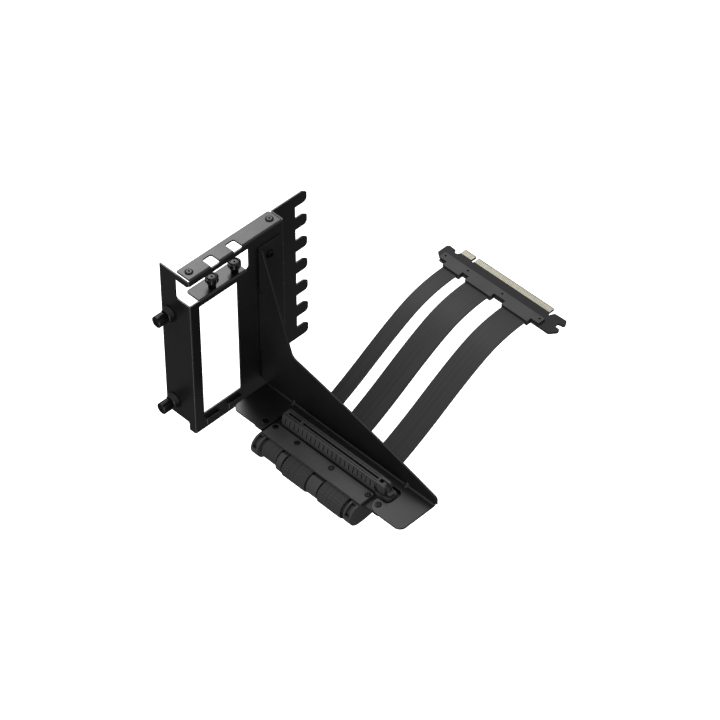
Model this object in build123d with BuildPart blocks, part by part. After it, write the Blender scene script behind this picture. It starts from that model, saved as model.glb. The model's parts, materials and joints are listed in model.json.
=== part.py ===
from build123d import *
import os
from math import atan, cos, degrees, radians, sin, tan

# Vertical bracket for a graphics card, in millimetres: a folded slot frame, a bolted support plate and
# a riser with three flat cables and a board plug.
# Every place below is measured from the frame's bottom outer corner, where the wing meets the front
# plate: X along the front plate to the comb, Y back along the wing, Z up.
# The model's origin is midway between the two case screws, at the seat on the wing's inner face.

# Sheet steel
sheet_t = 1.2
bend_r = 0.5
run_gap = 0.06
seat_gap = 0.1

# Slot spacing and card sizes that the bracket is made to fit
slot_pitch = 20.32
tongue_h = 10.19

# Slot frame: wing, front plate, jog and comb
plate_x = 86.0
frame_z = 142.14
wing_y = 28.1
wing_top_z = 140.4
wing_foot_z = 7.0
wing_foot_y = 6.2
comb_y = 10.94
comb_root_x = 106.8
tongue_x = 10.8
tongue_count = 7
tongue_r = 3.2
tongue_bevel_x = 4.1
tongue_bevel_z = 2.6
corner_r = 1.8
sharp_r = 0.6

# Window, top opening and the folded flanges
window_x0 = 8.46
window_x1 = 42.9
window_z0 = 14.0
window_z1 = 113.9
opening_x1 = 53.8
opening_z1 = 136.9
opening_r = 3.0
wing_notch_y = 13.7
wing_notch_z1 = 135.8
shelf_z = 118.65
shelf_x0 = 9.3
shelf_x1 = 51.5
flange_y = 13.3
flange_gap = 0.3
screw_notch_x = 8.0
screw_notch_y = 9.2
screw_notch_z = 140.6

# Tongue pockets lanced from the lower beam
pocket_x = 8.7
pocket_w = 12.9
pocket_z = 4.6
pocket_h = 4.8
pocket_y = 2.4

# Darts that stiffen a fold
dart_count = 5
dart_z = 48.8
dart_pitch = 18.1
dart_leg = 2.6
dart_half = 1.5
dart_depth = 1.14
base_dart_leg = 3.0
base_dart_half = 1.6
base_dart_back = 33.0
base_dart_front = 141.0

# Case screws, captive in cone ferrules on the wing
case_screw_y = 20.0
case_screw_z = 19.0
case_screw_pitch = 81.28
case_stud_r = 1.75
case_stud_x = 6.5
captive_r = 1.35
ferrule_rim_r = 6.2
ferrule_lip = 0.8
ferrule_nose_r = 4.6
ferrule_x = 4.4
ferrule_shank_r = 3.4
neck_r = 3.0
neck_x = 1.0
knob_r = 4.3
knob_x = 7.4
knob_edge = 0.5

# Card screws, upright in the shelf
card_screw_x = 24.5
card_screw_y = 4.8
card_stud_r = 1.75
card_stud_z = 6.0
foot_r = 2.7
foot_z = 1.6
cone_z = 4.0
card_head_r = 4.6
card_grip_z = 3.3
card_crown_z = 0.95
dish_r = 2.9
dish_depth = 0.8
dish_slope = 0.5

# Knurled bands and driver recesses of the thumb screws
knurl_count = 20
knurl_depth = 0.3
grip_step = 0.4
recess_r = 0.8
recess_depth = 1.2

# Small screws
top_screw_inset = 5.3
top_screw_y = 6.8
top_head_r = 2.9
top_head_h = 0.9
riser_head_r = 2.6
riser_head_h = 0.35
support_head_r = 3.4
support_head_h = 1.4
stud_r = 1.45
nut_r = 2.9
nut_h = 2.0
support_screw_x = 71.7
support_screw_z0 = 23.5
support_screw_z1 = 120.8

# Support plate: gusset and base
gusset_x = 61.0
fold_r = 1.4
base_z = 10.4
base_x0 = 28.2
base_back = 6.0
base_front = 166.5
base_corner_r = 5.5
gusset_z = 131.6
gusset_seam = 0.4
gusset_top_y = 4.8
knee_y = 31.9
knee_z = 53.1
knee_r = 6.0
toe_y = 165.5
toe_z = 18.6
toe_bow = 1.6
toe_r = 3.0
cutout_x1 = 52.0
cutout_back = 35.6
cutout_front = 135.2
cutout_corner_r = 9.0
lobe_x0 = 39.1
lobe_x1 = 53.8
lobe_front = 144.3
lobe_r = 3.5
support_flange_x = 21.0
upper_flange_z = 94.0
lower_flange_z = 37.0
slit_y = 3.7
slit_h = 0.9

# Riser board and its screws
board_t = 1.6
board_z = 7.2
board_x0 = 30.0
board_x1 = 59.0
board_back = 26.0
board_front = 144.0
riser_screw_x = 34.6
riser_screw_back = 32.0
riser_screw_front = 139.6
spacer_r = 3.0

# Socket and latch
socket_x = 46.46
socket_w = 7.5
socket_back = 40.7
socket_l = 89.3
socket_z = 18.43
slot_w = 1.8
slot_inset = 2.8
slot_depth = 8.9
short_slot_l = 11.4
key_l = 1.9
long_slot_l = 71.6
rib_count = 22
rib_inset = 0.2
rib_pitch = 4.02
rib_l = 3.3
rib_z0 = 12.6
rib_z1 = 18.0
foot_flare = 1.2
rail_x = 2.35
rail_w = 0.5
rail_depth = 0.4
rail_end = 1.1
prong_x = 1.55
prong_t = 2.0
prong_l = 7.4
prong_r = 1.5
socket_toe_y = 142.0
socket_toe_z = 11.0
socket_toe_r = 3.0
latch_pin_r = 0.8
latch_pin_y = 134.6
latch_pin_z = 14.0
latch_side_gap = 0.2
latch_pad_w = 4.9
latch_pad_y = 137.7
latch_tip_y = 141.4
latch_pad_z = 11.5
latch_pad_t = 1.3
latch_tail_y = 131.4
latch_tail_z = 12.9
latch_top_z = 17.6

# Flat cables
ribbon_t = 1.0
narrow_w = 13.4
middle_w = 21.9
wide_w = 21.9
narrow_y = 49.2
first_gap = 7.95
second_gap = 12.5
middle_y = narrow_y + narrow_w / 2 + first_gap + middle_w / 2
wide_y = middle_y + middle_w / 2 + second_gap + wide_w / 2
cables_back = narrow_y - narrow_w / 2
cables_front = wide_y + wide_w / 2
arc_share = 0.45
wide_route = [(31.5, 7.7), (21.67, 7.7), (16.83, -0.67), (21.67, -9.04), (42.0, -9.04),
              (85.0, 4.3), (148.0, 42.4), (178.0, 53.5), (196.4, 53.5)]
narrow_route = [(31.5, 7.7), (22.48, 7.7), (18.45, 0.73), (22.48, -6.24), (42.0, -6.24),
                (85.0, 6.3), (148.0, 43.4), (178.0, 53.5), (196.4, 53.5)]

# Cable guide and cover
guide_x = 26.5
guide_front_x = 41.0
guide_clear = 0.3
guide_lip_x = 9.0
guide_lip_z = 1.4
cheek_r = 8.75
cheek_z = -0.6
cheek_w = 1.35
drum_slot_depth = 2.2
drum_slot_from = 3.0
drum_slot_to = 78.0
narrow_seat_shift = 1.7
middle_seat_shift = 1.0
wide_seat_shift = 0.55
relief_w = 1.2
end_relief_w = 2.75
relief_depth = 1.2
spacer_lip = 0.3
ledge_x = 24.8
ledge_z = 6.65
guide_end_back = 7.4
guide_end_front = 9.85
guide_back = cables_back - guide_end_back
guide_front = cables_front + guide_end_front
cover_t = 1.5
cover_x0 = 27.0
cover_x1 = 40.2
cover_end_back = 5.6
cover_end_front = 10.45
cover_back = cables_back - cover_end_back
cover_front = cables_front + cover_end_front
cover_r = 1.0
cover_screw_x = 36.5
cover_screws_y = (cables_back - 2.5, narrow_y + narrow_w / 2 + 5.2, middle_y + middle_w / 2 + 8.05,
                  cables_front + 8.15)
cover_head_r = 2.15
cover_head_h = 0.5
small_stud_r = 1.0

# Board plug
plug_z = 54.3
plug_back_x = 199.3
finger_x = 219.8
finger_l = 5.0
finger_root_x = 214.6
finger_back = 41.4
finger_front = 125.2
plug_key_y0 = 51.9
plug_key_y1 = 54.1
plug_key_x = 213.9
pad_pitch = 1.0
pad_w = 0.7
pad_t = 0.05
shell_x0 = 196.4
shell_x1 = 207.0
shell_lap_x = 199.1
shell_step_x = 200.5
shell_margin = 0.9
shell_end_back = 8.2
shell_end_front = 8.05
shell_back = cables_back - shell_end_back
shell_front = cables_front + shell_end_front
shell_h = 1.4
plug_pin_x = 204.3
plug_pins_y = (cables_back - 5.5, narrow_y + narrow_w / 2 + 2.5, middle_y + middle_w / 2 + 5.15,
               cables_front + 5.35)
plug_pin_r = 0.8
pin_dip = 0.9

half_t = sheet_t / 2
flange_x0 = sheet_t + flange_gap
flange_x1 = plate_x - sheet_t - flange_gap
comb_z = frame_z - (tongue_count - 1) * slot_pitch - tongue_h
case_screws_z = [case_screw_z + i * case_screw_pitch for i in range(2)]
card_screws_x = [card_screw_x + i * slot_pitch for i in range(2)]
top_screws_x = [flange_x0 + top_screw_inset, flange_x1 - top_screw_inset]
support_screws_z = [support_screw_z0, support_screw_z1]
riser_screws_y = [riser_screw_back, riser_screw_front]
socket_front = socket_back + socket_l
ribbon_top = board_z + ribbon_t
cables = ((narrow_y, narrow_w), (middle_y, middle_w), (wide_y, wide_w))

os.makedirs("parts", exist_ok=True)


def place(x, y, z):
    """A point measured from the frame's corner, in the model's own axes."""
    return Vector(x - sheet_t, y - case_screw_y, z - case_screw_z - case_screw_pitch / 2)


def across_x(x, y=0, z=0):
    """Plane that looks along +X: its own axes are Y and Z."""
    return Plane(place(x, y, z), x_dir=(0, 1, 0), z_dir=(1, 0, 0))


def across_y(y, x=0, z=0):
    """Plane that looks forward, along -Y: its own axes are X and Z."""
    return Plane(place(x, y, z), x_dir=(1, 0, 0), z_dir=(0, -1, 0))


def across_z(z, x=0, y=0):
    """Level plane: its own axes are X and Y."""
    return Plane(place(x, y, z), x_dir=(1, 0, 0), z_dir=(0, 0, 1))


def cut_block(x, y, z):
    """Cuts away the block between two opposite corners."""
    with Locations(place(x[0], y[0], z[0])):
        Box(x[1] - x[0], y[1] - y[0], z[1] - z[0], align=(Align.MIN,) * 3, mode=Mode.SUBTRACT)


def strip_section(plane, *points, radius=bend_r):
    """Section of a folded sheet whose middle runs through the points."""
    with BuildSketch(plane) as section:
        with BuildLine():
            FilletPolyline(*points, radius=radius + half_t)
        trace(line_width=sheet_t)
    return section.sketch


def near(shapes, *points):
    """The one of the shapes that is nearest to each point."""
    return [shapes.sort_by_distance(point)[0] for point in points]


def outline(plane, points, rounds):
    """A face with straight sides, and the radius of each rounded corner by its place in the list."""
    with BuildSketch(plane) as face:
        Polygon(*points, align=None)
        for i, radius in rounds.items():
            fillet(near(face.vertices(), points[i]), radius)
    return face.sketch


def hole(plane, centres, radius, depth):
    """Round holes sunk from a plane, against its normal."""
    with BuildSketch(plane) as circles:
        with Locations(*centres):
            Circle(radius)
    extrude(circles.sketch, amount=-depth, mode=Mode.SUBTRACT)


def gaps_between(start, end, clear):
    """Spans along Y, from the back, that the three cables leave free."""
    edges = [start, *[middle + sign * (width / 2 + clear) for middle, width in cables for sign in (-1, 1)], end]
    return list(zip(edges[::2], edges[1::2]))


def hex_recess(plane, radius, depth):
    """Driver recess with six sides."""
    with BuildSketch(plane) as recess:
        RegularPolygon(radius, 6)
    extrude(recess.sketch, amount=-depth, mode=Mode.SUBTRACT)


def grip(plane, radius, length):
    """Knurled band round a knob, standing a step above what it joins."""
    groove = knurl_depth * 2 ** 0.5
    with BuildSketch(plane) as band:
        Circle(radius)
        with PolarLocations(radius, knurl_count):
            Rectangle(groove, groove, rotation=45, mode=Mode.SUBTRACT)
    extrude(band.sketch, amount=length)


def dart(plane, leg, embed, half=dart_half):
    """Rib pressed across the inside of a fold, lowest at both ends."""
    with BuildSketch(plane) as rib:
        Polygon((-leg - embed, -embed), (embed, -embed), (embed, leg + embed), align=None)
    return extrude(rib.sketch, amount=half, both=True, taper=degrees(atan(dart_depth / half)),
                   mode=Mode.PRIVATE)


def low_screw(plane, head_r, head_h, shank_r, shank_l, nut=0.0):
    """Low-head screw on a seat: the plane's normal points out of the head."""
    with BuildPart() as screw:
        with BuildSketch(plane):
            Circle(head_r)
        extrude(amount=head_h)
        chamfer(screw.edges().filter_by(GeomType.CIRCLE).sort_by(Axis(plane.origin, plane.z_dir))[-1:],
                head_h * 0.6, head_r * 0.35)
        with BuildSketch(plane):
            Circle(shank_r)
        extrude(amount=-shank_l)
        hex_recess(plane.offset(head_h), head_r * 0.3, head_h * 0.8)
        if nut:
            with BuildSketch(plane.offset(-nut)):
                RegularPolygon(nut_r, 6)
            extrude(amount=-nut_h)
    return screw.part


# Slot frame
with BuildPart() as slot_frame:
    # Wing, front plate, jog and comb are one sheet, folded round three upright bends
    extrude(strip_section(across_z(0), (half_t, wing_y), (half_t, half_t), (plate_x - half_t, half_t),
                          (plate_x - half_t, comb_y + half_t), (comb_root_x, comb_y + half_t)), amount=frame_z)
    cut_block((plate_x - sheet_t - bend_r, comb_root_x + 1), (-1, comb_y + sheet_t + 1), (-1, comb_z))
    # Tongues that reach into the case behind its slots
    for i in range(tongue_count):
        tongue = outline(across_y(comb_y + sheet_t, comb_root_x, frame_z - i * slot_pitch),
                         [(-1, 0), (tongue_x - tongue_bevel_x, 0), (tongue_x, -tongue_bevel_z),
                          (tongue_x, -tongue_h), (-1, -tongue_h)], {1: 1.0, 2: 1.0, 3: tongue_r})
        extrude(tongue, amount=sheet_t)
    # Window for the card's own bracket, and the opening above the shelf that runs round the corner
    extrude(outline(across_y(sheet_t), [(window_x0, window_z0), (window_x1, window_z0),
                                        (window_x1, window_z1), (window_x0, window_z1)],
                    {0: bend_r, 1: bend_r, 2: bend_r, 3: bend_r}), amount=sheet_t, mode=Mode.SUBTRACT)
    extrude(outline(across_y(sheet_t + bend_r), [(-1, shelf_z), (opening_x1, shelf_z),
                                                 (opening_x1, opening_z1), (-1, opening_z1)],
                    {1: opening_r}), amount=sheet_t + bend_r, mode=Mode.SUBTRACT)
    extrude(outline(across_x(0), [(-1, shelf_z), (wing_notch_y, shelf_z), (wing_notch_y, wing_notch_z1),
                                  (-1, wing_notch_z1)], {1: corner_r, 2: bend_r}),
            amount=sheet_t, mode=Mode.SUBTRACT)
    # Foot of the wing
    extrude(outline(across_x(0), [(wing_foot_y, -1), (wing_foot_y, wing_foot_z), (wing_y + 1, wing_foot_z),
                                  (wing_y + 1, -1)], {1: corner_r}), amount=sheet_t, mode=Mode.SUBTRACT)
    # Top flange, folded back from the strip above the opening
    cut_block((-1, flange_x1), (-1, wing_y + 1), (wing_top_z, frame_z + 1))
    extrude(strip_section(across_x(flange_x0), (half_t, opening_z1), (half_t, frame_z - half_t),
                          (flange_y, frame_z - half_t)), amount=flange_x1 - flange_x0)
    fillet(near(slot_frame.edges().filter_by(Axis.Z), place(flange_x0, flange_y, frame_z - half_t)), sharp_r)
    fillet(near(slot_frame.edges().filter_by(Axis.Z), place(flange_x1, flange_y, frame_z - half_t)), corner_r)
    for x in card_screws_x:
        extrude(outline(across_z(frame_z, x), [(-screw_notch_x / 2, -1), (screw_notch_x / 2, -1),
                                               (screw_notch_x / 2, screw_notch_y),
                                               (-screw_notch_x / 2, screw_notch_y)],
                        {2: corner_r, 3: corner_r}), amount=screw_notch_z - frame_z, mode=Mode.SUBTRACT)
    # Shelf that the card's bracket is screwed to
    cut_block((shelf_x0, shelf_x1), (-1, sheet_t + 1), (shelf_z - 3 * sheet_t, shelf_z + 1))
    extrude(strip_section(across_x(shelf_x0), (half_t, shelf_z - 3 * sheet_t), (half_t, shelf_z - half_t),
                          (wing_notch_y - seat_gap, shelf_z - half_t)), amount=shelf_x1 - shelf_x0)
    fillet(near(slot_frame.edges().filter_by(Axis.Z), place(shelf_x0, wing_notch_y, shelf_z - half_t),
                place(shelf_x1, wing_notch_y, shelf_z - half_t)), corner_r)
    # Pockets for the foot of the card's bracket, pushed forward out of the beam
    for i in range(2):
        x0 = pocket_x + i * slot_pitch
        x1 = x0 + pocket_w
        cut_block((x0 + sheet_t, x1 - sheet_t), (-1, sheet_t + 1), (pocket_z, pocket_z + pocket_h))
        extrude(strip_section(across_z(pocket_z), (x0 + half_t, half_t), (x0 + half_t, half_t - pocket_y),
                              (x1 - half_t, half_t - pocket_y), (x1 - half_t, half_t)), amount=pocket_h)
    # Darts across the fold beside the comb: a dent outside and a rib inside
    for i in range(dart_count):
        z = dart_z + i * dart_pitch
        add(dart(across_z(z, plate_x, 0), dart_leg, 1.0), mode=Mode.SUBTRACT)
        add(dart(across_z(z, plate_x - sheet_t, sheet_t), dart_leg, sheet_t - seat_gap))
    # Screw holes
    hole(across_x(sheet_t), [(case_screw_y, z) for z in case_screws_z], ferrule_shank_r, sheet_t)
    hole(across_z(shelf_z), [(x, card_screw_y) for x in card_screws_x], card_stud_r + run_gap, sheet_t)
    hole(across_z(frame_z), [(x, top_screw_y) for x in top_screws_x], stud_r, sheet_t)
    hole(across_y(0), [(support_screw_x, z) for z in support_screws_z], stud_r, sheet_t)
slot_frame.part.label = "slot_frame"
export_step(slot_frame.part, "parts/slot_frame.step")

# Support plate
with BuildPart() as support_plate:
    # Gusset, seen from the side: its front edge is bowed a little
    with BuildSketch(across_x(gusset_x)) as gusset:
        with BuildLine():
            edge = Polyline((-gusset_seam, base_z + fold_r), (-gusset_seam, gusset_z),
                            (-gusset_top_y, gusset_z), (-knee_y, knee_z))
            bow = ThreePointArc((-knee_y, knee_z), (-(knee_y + toe_y) / 2, (knee_z + toe_z) / 2 + toe_bow),
                                (-toe_y, toe_z))
            Polyline(bow @ 1, (-base_front - 1.4, toe_z - 1.0), (-base_front - 1.4, base_z + fold_r),
                     edge @ 0)
        make_face()
        fillet(near(gusset.vertices(), (-knee_y, knee_z)), knee_r)
        fillet(near(gusset.vertices(), (-base_front - 1.4, toe_z - 1.0)), toe_r)
    extrude(amount=sheet_t)
    # Base, with the cut-out that the socket and the cables pass
    fold_x = gusset_x - fold_r
    base = outline(across_z(base_z - sheet_t),
                   [(base_x0, -base_back), (fold_x, -base_back), (fold_x, -base_front), (base_x0, -base_front),
                    (base_x0, -cutout_front), (lobe_x0, -cutout_front), (lobe_x0, -lobe_front),
                    (lobe_x1, -lobe_front), (lobe_x1, -cutout_front), (cutout_x1, -cutout_front),
                    (cutout_x1, -cutout_back), (base_x0, -cutout_back)],
                   {0: base_corner_r, 3: base_corner_r, 4: cutout_corner_r, 5: 1.0, 6: lobe_r, 7: lobe_r,
                    10: 1.0, 11: 2.0})
    extrude(base, amount=sheet_t)
    # Fold between them
    extrude(strip_section(across_y(-base_back), (fold_x - 1, base_z - half_t),
                          (gusset_x + half_t, base_z - half_t), (gusset_x + half_t, base_z + fold_r + 1),
                          radius=fold_r), amount=base_front - base_back)
    # Flanges on the front plate, with a relief slit beside each
    for z0, z1 in ((base_z + fold_r, lower_flange_z), (upper_flange_z, gusset_z)):
        cut_block((gusset_x - 1, gusset_x + sheet_t + 1), (-sheet_t - bend_r, 1), (z0, z1))
        extrude(strip_section(across_z(z0), (gusset_x + half_t, -sheet_t - bend_r - half_t),
                              (gusset_x + half_t, -half_t), (gusset_x + support_flange_x, -half_t)),
                amount=z1 - z0)
    for z in (upper_flange_z - slit_h, lower_flange_z):
        cut_block((gusset_x - 1, gusset_x + sheet_t + 1), (-slit_y, 1), (z, z + slit_h))
    for y in (base_dart_back, base_dart_front):
        add(dart(across_y(-y, gusset_x, base_z), base_dart_leg, sheet_t - seat_gap, base_dart_half))
    hole(across_y(0), [(support_screw_x, z) for z in support_screws_z], stud_r, -sheet_t)
    hole(across_z(base_z), [(riser_screw_x, -y) for y in riser_screws_y], stud_r, sheet_t)
support_plate.part.label = "support_plate"
export_step(support_plate.part, "parts/support_plate.step")

# Captive case screws: each turns in its ferrule, held there by its thinner neck
for name, z in zip(("lower", "upper"), case_screws_z):
    centre = place(0, case_screw_y, z)
    profile_plane = Plane(centre, x_dir=(1, 0, 0), z_dir=(0, 0, 1))
    bore = captive_r + run_gap
    with BuildPart() as ferrule:
        with BuildSketch(profile_plane):
            Polygon((-ferrule_x, bore), (-ferrule_x, ferrule_nose_r - 0.4), (0.4 - ferrule_x, ferrule_nose_r),
                    (-ferrule_lip, ferrule_rim_r), (0, ferrule_rim_r), (0, ferrule_shank_r),
                    (sheet_t - seat_gap, ferrule_shank_r), (sheet_t - seat_gap, bore), align=None)
        revolve(axis=Axis(centre, (1, 0, 0)))
    ferrule.part.label = "case_ferrule_" + name
    export_step(ferrule.part, "parts/case_ferrule_" + name + ".step")

    neck_end = -ferrule_x - neck_x
    knob_end = neck_end - knob_x
    body_r = knob_r - grip_step
    with BuildPart() as case_screw:
        with BuildSketch(profile_plane):
            Polygon((case_stud_x, 0), (case_stud_x, case_stud_r - 0.5), (case_stud_x - 0.5, case_stud_r),
                    (sheet_t, case_stud_r), (sheet_t, captive_r), (-ferrule_x - seat_gap, captive_r),
                    (-ferrule_x - seat_gap, neck_r), (neck_end, neck_r), (neck_end - knob_edge, body_r),
                    (knob_end + knob_edge, body_r), (knob_end, body_r - knob_edge), (knob_end, 0), align=None)
        revolve(axis=Axis(centre, (1, 0, 0)))
        outward = Plane(centre, x_dir=(0, 1, 0), z_dir=(-1, 0, 0))
        grip(outward.offset(knob_edge - neck_end), knob_r, knob_x - 2 * knob_edge)
        hex_recess(outward.offset(-knob_end), recess_r, recess_depth)
    case_screw.part.label = "case_screw_" + name
    export_step(case_screw.part, "parts/case_screw_" + name + ".step")

# Card screws, each with a dished crown
for name, x in zip(("first", "second"), card_screws_x):
    centre = place(x, card_screw_y, shelf_z)
    grip_z = foot_z + cone_z
    crown_z = grip_z + card_grip_z
    head_top = crown_z + card_crown_z
    dish_z = head_top - dish_depth
    body_r = card_head_r - grip_step
    with BuildPart() as card_screw:
        with BuildSketch(Plane(centre, x_dir=(1, 0, 0), z_dir=(0, -1, 0))):
            Polygon((0, -card_stud_z), (card_stud_r - 0.5, -card_stud_z), (card_stud_r, 0.5 - card_stud_z),
                    (card_stud_r, seat_gap), (foot_r, seat_gap), (foot_r, foot_z), (body_r, grip_z),
                    (body_r, crown_z), (dish_r + dish_slope, head_top), (dish_r, head_top),
                    (dish_r - dish_slope, dish_z), (0, dish_z), align=None)
        revolve(axis=Axis(centre, (0, 0, 1)))
        grip(Plane(centre).offset(grip_z), card_head_r, card_grip_z)
        hex_recess(Plane(centre).offset(dish_z), recess_r, recess_depth)
    card_screw.part.label = "card_screw_" + name
    export_step(card_screw.part, "parts/card_screw_" + name + ".step")

# Low-head screws of the top flange, the support plate and the riser, each with its nut
top_screws = Compound([low_screw(across_z(frame_z, x, top_screw_y), top_head_r, top_head_h, stud_r,
                                 sheet_t + nut_h + 0.5, sheet_t) for x in top_screws_x])
top_screws.label = "top_screws"
export_step(top_screws, "parts/top_screws.step")

support_screws = Compound([low_screw(across_y(-sheet_t, support_screw_x, z), support_head_r,
                                     support_head_h, stud_r, 2 * sheet_t + nut_h + 0.5, 2 * sheet_t)
                           for z in support_screws_z])
support_screws.label = "support_screws"
export_step(support_screws, "parts/support_screws.step")

riser_stack = base_z - board_z + board_t
riser_screws = Compound([low_screw(across_z(base_z, riser_screw_x, -y), riser_head_r, riser_head_h, stud_r,
                                   riser_stack + nut_h + 0.5, riser_stack) for y in riser_screws_y])
riser_screws.label = "riser_screws"
export_step(riser_screws, "parts/riser_screws.step")

with BuildPart() as riser_spacers:
    with BuildSketch(across_z(board_z)):
        with Locations(*[(riser_screw_x, -y) for y in riser_screws_y]):
            Circle(spacer_r)
            Circle(stud_r, mode=Mode.SUBTRACT)
    extrude(amount=base_z - sheet_t - board_z)
riser_spacers.part.label = "riser_spacers"
export_step(riser_spacers.part, "parts/riser_spacers.step")

# Riser board
with BuildPart() as riser_board:
    extrude(outline(across_z(board_z - board_t), [(board_x0, -board_back), (board_x1, -board_back),
                                                  (board_x1, -board_front), (board_x0, -board_front)],
                    {0: 1.0, 1: 1.0, 2: 1.0, 3: 1.0}), amount=board_t)
    hole(across_z(board_z), [(riser_screw_x, -y) for y in riser_screws_y], stud_r, board_t)
    hole(across_z(board_z), [(cover_screw_x, -y) for y in cover_screws_y], small_stud_r, board_t)
riser_board.part.label = "riser_board"
export_step(riser_board.part, "parts/riser_board.step")

# Socket
with BuildPart() as socket_body:
    side = socket_w / 2
    foot_side = side + foot_flare
    extrude(outline(across_z(board_z, socket_x), [(-side, -socket_back), (side, -socket_back),
                                                  (side, -socket_front), (-side, -socket_front)],
                    {0: 1.0, 1: 1.0}), amount=socket_z - board_z)
    # Wider foot, which runs on below the latch
    extrude(outline(across_z(board_z, socket_x), [(-foot_side, -socket_back), (foot_side, -socket_back),
                                                  (foot_side, -socket_front), (-foot_side, -socket_front)],
                    {0: 1.0, 1: 1.0}), amount=rib_z0 - board_z)
    extrude(outline(across_z(board_z, socket_x), [(-foot_side, -socket_front), (foot_side, -socket_front),
                                                  (foot_side, -socket_toe_y), (-foot_side, -socket_toe_y)],
                    {2: socket_toe_r, 3: socket_toe_r}), amount=socket_toe_z - board_z)
    # Sloping ribs from the foot to the rim, on both sides
    for i in range(rib_count):
        with BuildSketch(across_y(-socket_back - rib_inset - i * rib_pitch, socket_x)):
            Polygon((-side, rib_z1), (side, rib_z1), (foot_side, rib_z0), (-foot_side, rib_z0), align=None)
        extrude(amount=rib_l)
    # Slot in two lengths, with the key between them
    slot_y = socket_back + slot_inset
    for length in (short_slot_l, long_slot_l):
        cut_block((socket_x - slot_w / 2, socket_x + slot_w / 2), (-slot_y - length, -slot_y),
                  (socket_z - slot_depth, socket_z + 1))
        slot_y += length + key_l
    # Fine grooves beside the slot
    for x in (socket_x - rail_x, socket_x + rail_x):
        cut_block((x - rail_w / 2, x + rail_w / 2), (rail_end - socket_front, -socket_back - rail_end),
                  (socket_z - rail_depth, socket_z + 1))
    # Two prongs that carry the latch
    for x in (socket_x - prong_x - prong_t, socket_x + prong_x):
        extrude(outline(across_x(x), [(-socket_front, board_z), (-socket_front - prong_l, board_z),
                                      (-socket_front - prong_l, socket_z), (-socket_front, socket_z)],
                        {2: prong_r}), amount=prong_t)
    hole(across_x(socket_x + socket_w), [(-latch_pin_y, latch_pin_z)], latch_pin_r + run_gap, 2 * socket_w)
socket_body.part.label = "socket_body"
export_step(socket_body.part, "parts/socket_body.step")

# Card latch: an arm between the prongs, and a thumb pad beyond them
with BuildPart() as socket_latch:
    arm = prong_x - latch_side_gap
    pad_top = latch_pad_z + latch_pad_t
    extrude(outline(across_x(socket_x - arm),
                    [(-latch_tail_y, latch_tail_z), (-latch_tail_y, latch_pin_z + 1.0),
                     (-latch_tail_y - 1.2, latch_top_z), (-latch_pin_y - 0.8, latch_top_z),
                     (-latch_pad_y - 0.6, pad_top), (-latch_pad_y - 0.6, latch_pad_z),
                     (-latch_pin_y, latch_pad_z + 0.4)], {2: 0.6, 3: 0.8}), amount=2 * arm)
    extrude(outline(across_z(latch_pad_z, socket_x),
                    [(-latch_pad_w / 2, -latch_pad_y), (latch_pad_w / 2, -latch_pad_y),
                     (latch_pad_w / 2, -latch_tip_y), (-latch_pad_w / 2, -latch_tip_y)],
                    {2: 1.2, 3: 1.2}), amount=latch_pad_t)
    with BuildSketch(across_x(socket_x - prong_x - prong_t)):
        with Locations((-latch_pin_y, latch_pin_z)):
            Circle(latch_pin_r)
    extrude(amount=2 * (prong_x + prong_t))
socket_latch.part.label = "socket_latch"
export_step(socket_latch.part, "parts/socket_latch.step")


def ribbon(route, middle, width):
    """Flat cable along a route in X and Z, with an arc at every turn as large as its runs allow."""
    corners = [Vector(*point) for point in route]
    radii = []
    for before, point, after in zip(corners, corners[1:], corners[2:]):
        into = point - before
        out = after - point
        turn = radians(into.get_angle(out))
        radii.append(arc_share * min(into.length, out.length) / tan(turn / 2))
    with BuildPart() as cable:
        with BuildSketch(across_y(-middle)):
            with BuildLine() as path:
                FilletPolyline(*route, radius=radii)
            trace(line_width=ribbon_t)
        extrude(amount=width / 2, both=True)
    print("ribbon", width, "length", round(path.wires()[0].length, 1), "radii", [round(r, 1) for r in radii])
    return cable.part


ribbons = (("ribbon_narrow", narrow_route, narrow_y, narrow_w), ("ribbon_middle", wide_route, middle_y, middle_w),
           ("ribbon_wide", wide_route, wide_y, wide_w))
for name, route, middle, width in ribbons:
    cable = ribbon(route, middle, width)
    cable.label = name
    export_step(cable, "parts/" + name + ".step")


def guide_section(radius, z, foot):
    """Section of the cable guide: a half drum that the cable bends round, and a flat foot under the board."""
    with BuildSketch(across_y(-guide_back)) as section:
        with Locations((guide_x, z)):
            Circle(radius)
        Polygon((guide_x, foot), (guide_front_x - guide_lip_x, foot), (guide_front_x, foot + guide_lip_z),
                (guide_front_x, board_z - board_t),
                (board_x0 - guide_clear, board_z - board_t), (board_x0 - guide_clear, z + radius),
                (guide_x, z + radius), align=None)
        Polygon((board_x0 - guide_clear, board_z - board_t), (guide_x + 2 * radius, board_z - board_t),
                (guide_x + 2 * radius, z + radius), (board_x0 - guide_clear, z + radius), align=None,
                mode=Mode.SUBTRACT)
    return section.sketch


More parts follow.
